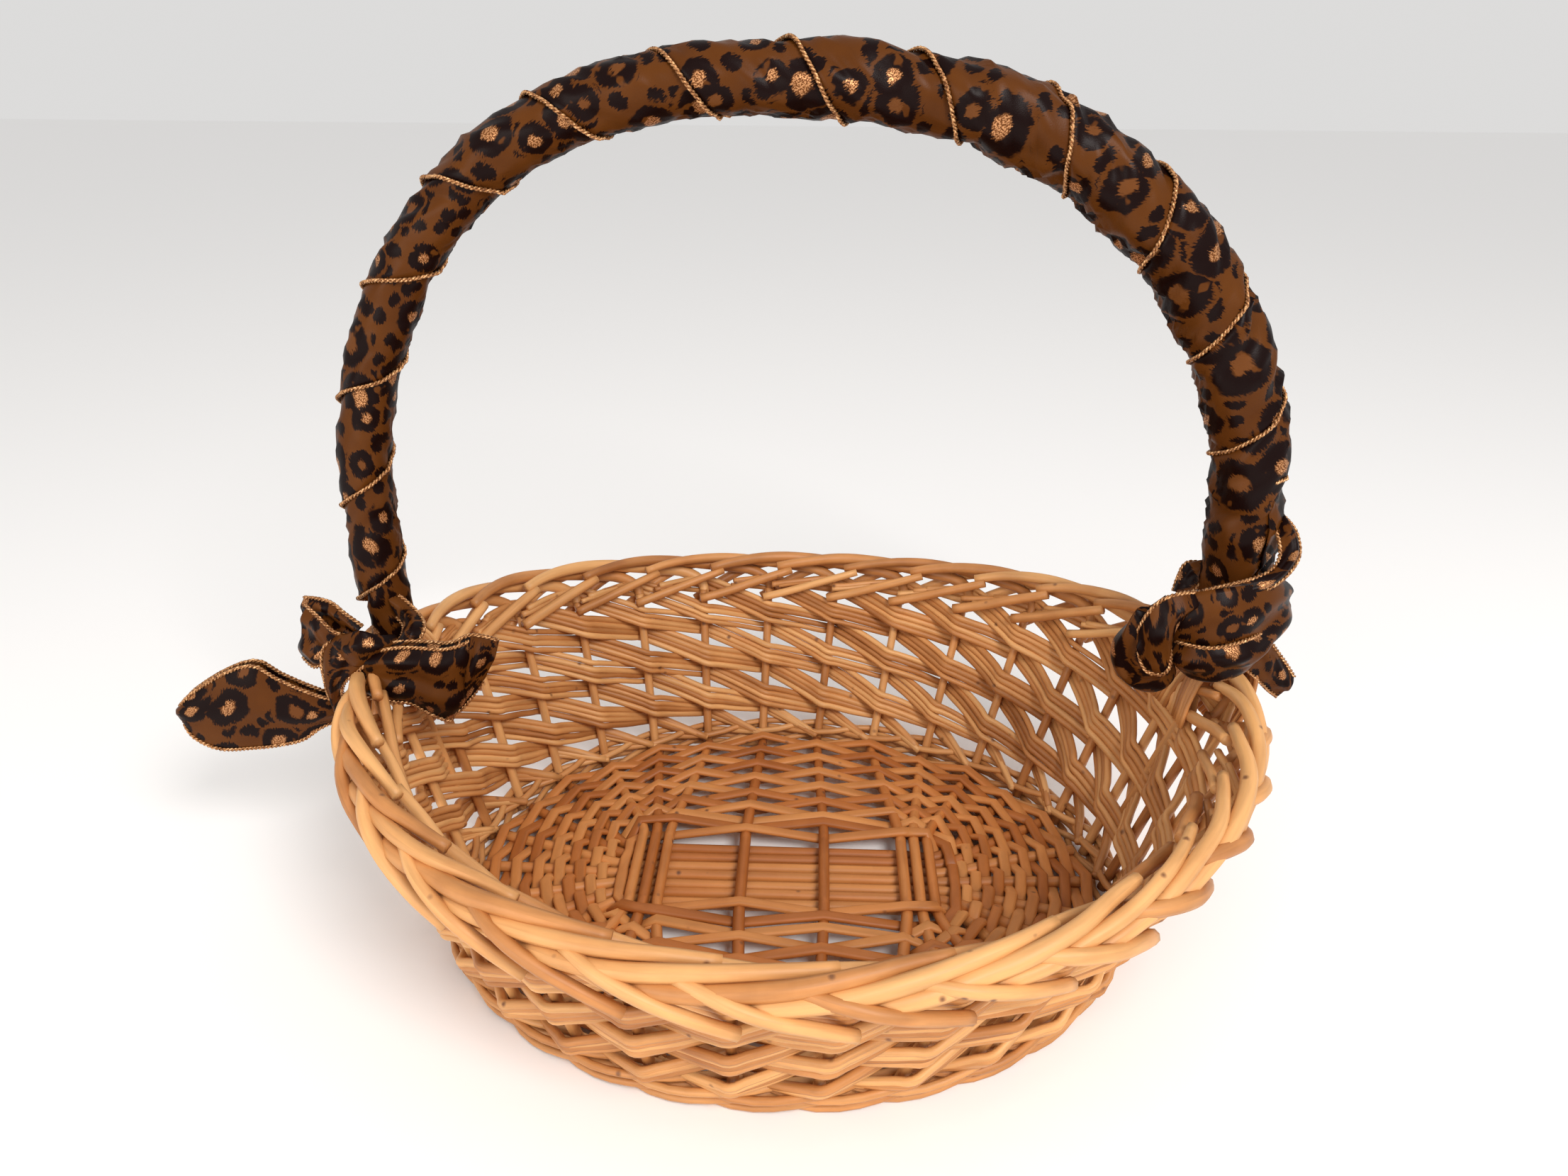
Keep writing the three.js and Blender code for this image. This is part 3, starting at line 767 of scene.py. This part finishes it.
def wrap_radius(distance, angle, layer):
    """The ribbon's distance from the handle's middle: padding, creases and its own layers."""
    share = distance / HANDLE_LENGTH
    radius = np.interp(share, WRAP_SHARES, WRAP_RADII)
    crumple = np.interp(share, CRUMPLE_SHARES, CRUMPLES)
    around = (math.cos(angle), math.sin(angle))
    soft = noise_at(distance * 26, around[0] * 0.9, around[1] * 0.9)
    slant = distance * 120 + math.sin(angle + 0.6) * 1.6
    crease = 0.55 - abs(noise_at(slant, around[0] * 0.7 + 5, around[1] * 0.7)) * 2.2
    fine = noise_at(slant * 2.2, around[0] * 1.4 + 9, around[1] * 1.4)
    radius += crumple * (0.0011 * soft + 0.0014 * crease + 0.0007 * fine)
    ridge = math.exp(-((layer - 0.29) / 0.03) ** 2) * 0.0005
    puff = 0.0007 * crumple * math.sin(math.pi * min(1, layer / 0.75))
    return radius + WRAP_OVERLAY * (1 - layer) + ridge + puff


def wrap_point(turn, layer, proud=0.0):
    """A point on the wound ribbon; layer goes from 0 at its outer edge to 1 under the next turn."""
    eased = turn - 0.5 + 0.5 * math.exp(-2 * turn)
    over = max(0.0, turn - WRAP_TURNS + 1)
    eased -= 0.5 * over * over
    distance = WRAP_FROM + WRAP_PITCH * eased + WRAP_AXIAL * layer
    distance = min(distance, WRAP_TO + 0.004 * layer)
    angle = WRAP_START_ANGLE - 2 * math.pi * turn
    return round_handle(distance, angle, wrap_radius(distance, angle, layer) + proud)


def cloth_piece(name, rows, place, flat_uv, nodes):
    """A sheet from a grid: place and flat_uv take two shares, across and along the ribbon."""
    across, along = rows
    weave = bmesh.new()
    layer = weave.loops.layers.uv.new("UVMap")
    bmesh.ops.create_grid(weave, x_segments=across, y_segments=along, size=0.5)
    for face in weave.faces:
        face.smooth = True
        for loop in face.loops:
            loop[layer].uv = flat_uv(loop.vert.co.x + 0.5, loop.vert.co.y + 0.5)
    for vert in weave.verts:
        vert.co = place(vert.co.x + 0.5, vert.co.y + 0.5)
    mesh = bpy.data.meshes.new(name)
    weave.to_mesh(mesh)
    weave.free()
    mesh.materials.append(spotted_satin)
    piece = bpy.data.objects.new(name, mesh)
    bpy.context.collection.objects.link(piece)
    thick = piece.modifiers.new("cloth", "SOLIDIFY")
    thick.thickness = CLOTH_THICKNESS
    thick.offset = 0
    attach(piece, "root")
    if nodes:
        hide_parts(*nodes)
    return piece


def gold_cord(name, lines, pitch=0.0038, strand=0.00052):
    """Two strands twisted round each other along each line."""
    strands = []
    for line in lines:
        table = np.array(line)
        reach = np.concatenate(([0], np.cumsum(np.linalg.norm(np.diff(table, axis=0), axis=1))))
        count = max(8, int(reach[-1] / pitch * 6))
        centres = [Vector([np.interp(d, reach, table[:, i]) for i in range(3)])
                   for d in np.linspace(0, reach[-1], count)]
        for turn in (0, math.pi):
            points = []
            for step, centre in enumerate(centres):
                ahead = centres[min(step + 1, count - 1)] - centres[max(step - 1, 0)]
                side = ahead.cross(Vector((0.31, 0.2, 0.93))).normalized()
                other = side.cross(ahead.normalized())
                angle = turn + step * math.pi / 3
                points.append(centre + (side * math.cos(angle) + other * math.sin(angle)) * strand)
            strands.append(points)
    curve = bpy.data.curves.new(name, "CURVE")
    curve.dimensions = "3D"
    curve.bevel_depth = strand
    curve.bevel_resolution = 1
    curve.use_fill_caps = True
    for points in strands:
        spline = curve.splines.new("POLY")
        spline.points.add(len(points) - 1)
        for knot, point in zip(spline.points, points):
            knot.co = (*point, 1)
    former = bpy.data.objects.new(name, curve)
    bpy.context.collection.objects.link(former)
    mesh = bpy.data.meshes.new_from_object(
        former.evaluated_get(bpy.context.evaluated_depsgraph_get()))
    bpy.data.objects.remove(former)
    mesh.materials.clear()
    mesh.materials.append(gold_thread)
    solid = bmesh.new()
    solid.from_mesh(mesh)
    bmesh.ops.remove_doubles(solid, verts=solid.verts, dist=1e-6)
    solid.to_mesh(mesh)
    solid.free()
    piece = bpy.data.objects.new(name, mesh)
    bpy.context.collection.objects.link(piece)
    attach(piece, "root")
    return piece


wrap = cloth_piece(
    "ribbon_turns", (20, int(WRAP_TURNS * 56)),
    lambda across, along: wrap_point(along * WRAP_TURNS, across),
    lambda across, along: (
        PRINT_STRETCH * across * RIBBON_WIDTH,
        PRINT_STRETCH * (along * WRAP_TURNS * WRAP_TURN_LENGTH
                         + across * WRAP_AXIAL * WRAP_PITCH / WRAP_TURN_LENGTH)),
    ["ribbon_wrap"])
wrap_edge = [wrap_point(step / 40, 0.0, 0.0007) for step in range(int(WRAP_TURNS * 40) + 1)]
wrap_cord = gold_cord("ribbon_turns_cord", [wrap_edge])

# ---- Bows
# The ribbon's ends are tied round both feet of the handle. Each loop or end is
# one strip, given as pairs of edge points, and all but two have corded edges.
MM = 0.001


def bow_strip(name, pairs, belly, flat, nodes, corded=(0, 1), creases=3,
              crease=1.2):
    """Ribbon between two edges, bellied towards the front and creased along its length."""
    first = smooth_line([Vector(a) * MM for a, b in pairs], 12)
    second = smooth_line([Vector(b) * MM for a, b in pairs], 12)
    spots = np.linspace(0, 1, len(first))
    edges = [np.array(first), np.array(second)]
    seed = sum(map(ord, name)) % 97

    def edge(which, along):
        return Vector([np.interp(along, spots, edges[which][:, i]) for i in range(3)])

    def place(across, along):
        a, b = edge(0, along), edge(1, along)
        ahead = (edge(0, min(1, along + 0.02)) + edge(1, min(1, along + 0.02))
                 - edge(0, max(0, along - 0.02)) - edge(1, max(0, along - 0.02)))
        proud = (b - a).cross(ahead)
        if proud.y > 0:
            proud = -proud
        proud.normalize()
        arch = 1 - (2 * across - 1) ** 2
        fold = math.sin(math.pi * creases * across + 2.2 * noise_at(along * 3, seed, 0))
        fold += 0.7 * noise_at(across * 5, along * 6, seed)
        return a.lerp(b, across) + proud * MM * (belly * arch + crease * fold * arch)

    piece = cloth_piece(
        name, (24, 54), place,
        lambda across, along: (across * flat[0] + seed * 0.013, along * flat[1] + seed * 0.031),
        nodes)
    lines = [[place(side, step / 40) + Vector((0, -0.0004, 0)) for step in range(41)]
             for side in corded]
    cords = [gold_cord(name + "_cord", lines)] if lines else []
    return piece


def returning(pairs, behind):
    """The same strip coming back behind itself, as in a flattened loop."""
    back = [((a[0], a[1] + behind, a[2]), (b[0], b[1] + behind, b[2])) for a, b in reversed(pairs)]
    return pairs + back


LEFT_PADDLE = [
    ((-183, -4, 107), (-186, -4, 98)), ((-192, -9, 111), (-197, -9, 95)),
    ((-201, -11, 116), (-206, -11, 89)), ((-213, -12, 123), (-219, -12, 86)),
    ((-222, -13, 130), (-230, -13, 85)), ((-237, -13, 125), (-246, -13, 84)),
    ((-254, -13, 114), (-257, -13, 90)), ((-261, -12, 107), (-261, -12, 98))]
bow_strip("left_long_loop", returning(LEFT_PADDLE, 5), 2.5, (0.034, 0.160), ["left_bow_long_loop"],
          creases=2, crease=0.6)
bow_strip("left_small_loop_back", [
    ((-201, 4, 157), (-203, 4, 140)), ((-193, 1, 158), (-196, 1, 142)),
    ((-186, -1, 157), (-189, -1, 141)), ((-180, -3, 153), (-184, -3, 140)),
    ((-172, -4, 147), (-177, -5, 138))], 2.5, (0.018, 0.031), ["left_bow_small_loop"])
bow_strip("left_small_loop_front", [
    ((-197, -3, 156), (-204, -1, 128)), ((-189, -8, 152), (-197, -6, 126)),
    ((-183, -10, 147), (-191, -8, 129)), ((-177, -10, 145), (-185, -9, 133)),
    ((-170, -10, 143), (-177, -9, 137))], 3.0, (0.026, 0.031), ["left_bow_small_loop"],
    crease=1.6)
bow_strip("left_hanging_fold", [
    ((-178, -8, 144), (-161, -10, 141)), ((-186, -13, 142), (-165, -15, 137)),
    ((-189, -14, 134), (-171, -16, 131)), ((-189, -14, 123), (-179, -15, 124)),
    ((-190, -11, 114), (-183, -12, 116)), ((-190, -7, 107), (-184, -8, 107))], 3.5, (0.021, 0.042),
    ["left_bow_knot"], creases=2, crease=1.6)
bow_strip("left_knot_band", [
    ((-183, -6, 145), (-184, -8, 134)), ((-176, -14, 148), (-178, -15, 134)),
    ((-168, -16, 151), (-171, -17, 133)), ((-162, -14, 148), (-164, -15, 137)),
    ((-157, -6, 144), (-159, -8, 139))], 4.0, (0.018, 0.038), ["left_bow_knot"], corded=(), creases=2,
    crease=1.0)
bow_strip("left_front_loop", returning([
    ((-170, -12, 136), (-173, -12, 124)), ((-161, -16, 141), (-169, -17, 118)),
    ((-150, -18, 144), (-159, -18, 116)), ((-140, -18, 144), (-149, -18, 115)),
    ((-131, -17, 143), (-141, -18, 110)), ((-122, -15, 145), (-133, -16, 105))], 6), 4.0, (0.036, 0.112),
    ["left_bow_front_loop"], creases=3, crease=1.9)
bow_strip("left_front_loop_end", [
    ((-125, -13, 146), (-134, -14, 105)), ((-120, -12, 148), (-129, -13, 108)),
    ((-114, -11, 147), (-124, -11, 113)), ((-108, -9, 144), (-117, -9, 123))], 3.0, (0.033, 0.020),
    ["left_bow_front_loop"], creases=2, crease=1.2)
bow_strip("left_leg_turn", [
    ((-164, 13, 158), (-160, 7, 146)), ((-154, 9, 152), (-156, 3, 144)),
    ((-146, 1, 149), (-154, -5, 143)), ((-143, -6, 147), (-155, -9, 142)),
    ((-146, -11, 142), (-158, -12, 141)), ((-156, -14, 138), (-162, -12, 143))], 3.0, (0.012, 0.042),
    ["left_bow_knot"], creases=2, crease=0.8)

bow_strip("right_leg_turn", [
    ((240, 20, 204), (235, 12, 203)), ((245, 8, 199), (237, 4, 196)),
    ((246, 1, 191), (236, -3, 190)), ((241, -6, 186), (230, -9, 186)),
    ((233, -11, 181), (221, -13, 184)), ((221, -14, 176), (211, -15, 182)),
    ((208, -15, 172), (201, -15, 179))], 3.0, (0.014, 0.062), ["right_bow_knot"], creases=2, crease=0.8)
bow_strip("right_knot_body", [
    ((243, 6, 176), (245, 10, 156)), ((236, -6, 179), (240, -2, 150)),
    ((224, -14, 182), (230, -12, 144)), ((212, -19, 183), (219, -18, 139)),
    ((201, -19, 181), (207, -19, 137)), ((193, -15, 177), (198, -15, 139)),
    ((189, -6, 170), (193, -6, 146))], 6.0, (0.045, 0.075), ["right_bow_knot"], corded=(), creases=3,
    crease=1.6)
bow_strip("right_knot_fold", [
    ((231, -14, 160), (233, -10, 149)), ((220, -23, 160), (224, -20, 143)),
    ((206, -27, 158), (211, -23, 139)), ((197, -24, 157), (200, -20, 139)),
    ((191, -15, 155), (194, -14, 143))], 4.0, (0.022, 0.05), ["right_bow_knot"], corded=(0,), creases=2,
    crease=1.4)
bow_strip("right_front_loop", [
    ((200, -16, 179), (192, -17, 168)), ((190, -20, 180), (188, -22, 160)),
    ((182, -21, 177), (189, -24, 147)), ((177, -20, 169), (186, -23, 142)),
    ((175, -18, 160), (180, -20, 143))], 4.0, (0.018, 0.047), ["right_bow_knot"], creases=2, crease=1.4)
bow_strip("right_front_loop_outer", [
    ((186, -14, 176), (180, -18, 172)), ((176, -11, 164), (176, -19, 158)),
    ((168, -9, 151), (177, -20, 148)), ((169, -9, 139), (181, -21, 142)),
    ((177, -9, 129), (187, -20, 141)), ((187, -9, 126), (190, -18, 143)),
    ((194, -10, 133), (191, -16, 152))], 4.0, (0.018, 0.070), ["right_bow_knot"], creases=2, crease=1.2,
    corded=(1,))
bow_strip("right_back_loop", [
    ((203, 26, 159), (207, 18, 159)), ((205, 28, 166), (211, 20, 163)),
    ((208, 29, 172), (215, 20, 169)), ((214, 28, 173), (216, 21, 172)),
    ((220, 26, 171), (219, 19, 166))], 2.0, (0.01, 0.03), ["right_bow_knot"], creases=2, crease=0.6)
bow_strip("right_low_end", [
    ((233, 4, 158), (228, 0, 135)), ((239, 6, 151), (234, 4, 130)),
    ((246, 8, 141), (242, 6, 123)), ((254, 9, 131), (248, 8, 117)),
    ((259, 9, 124), (253, 9, 113))], 3.0, (0.021, 0.037), ["right_bow_tail"], creases=2, crease=1.4)
bow_strip("right_back_end", [
    ((240, 22, 172), (238, 18, 160)), ((247, 23, 166), (245, 19, 158)),
    ((253, 23, 158), (250, 20, 153)), ((256, 22, 154), (254, 22, 151))], 1.5, (0.010, 0.022),
    ["right_bow_tail"], creases=1, crease=0.6)
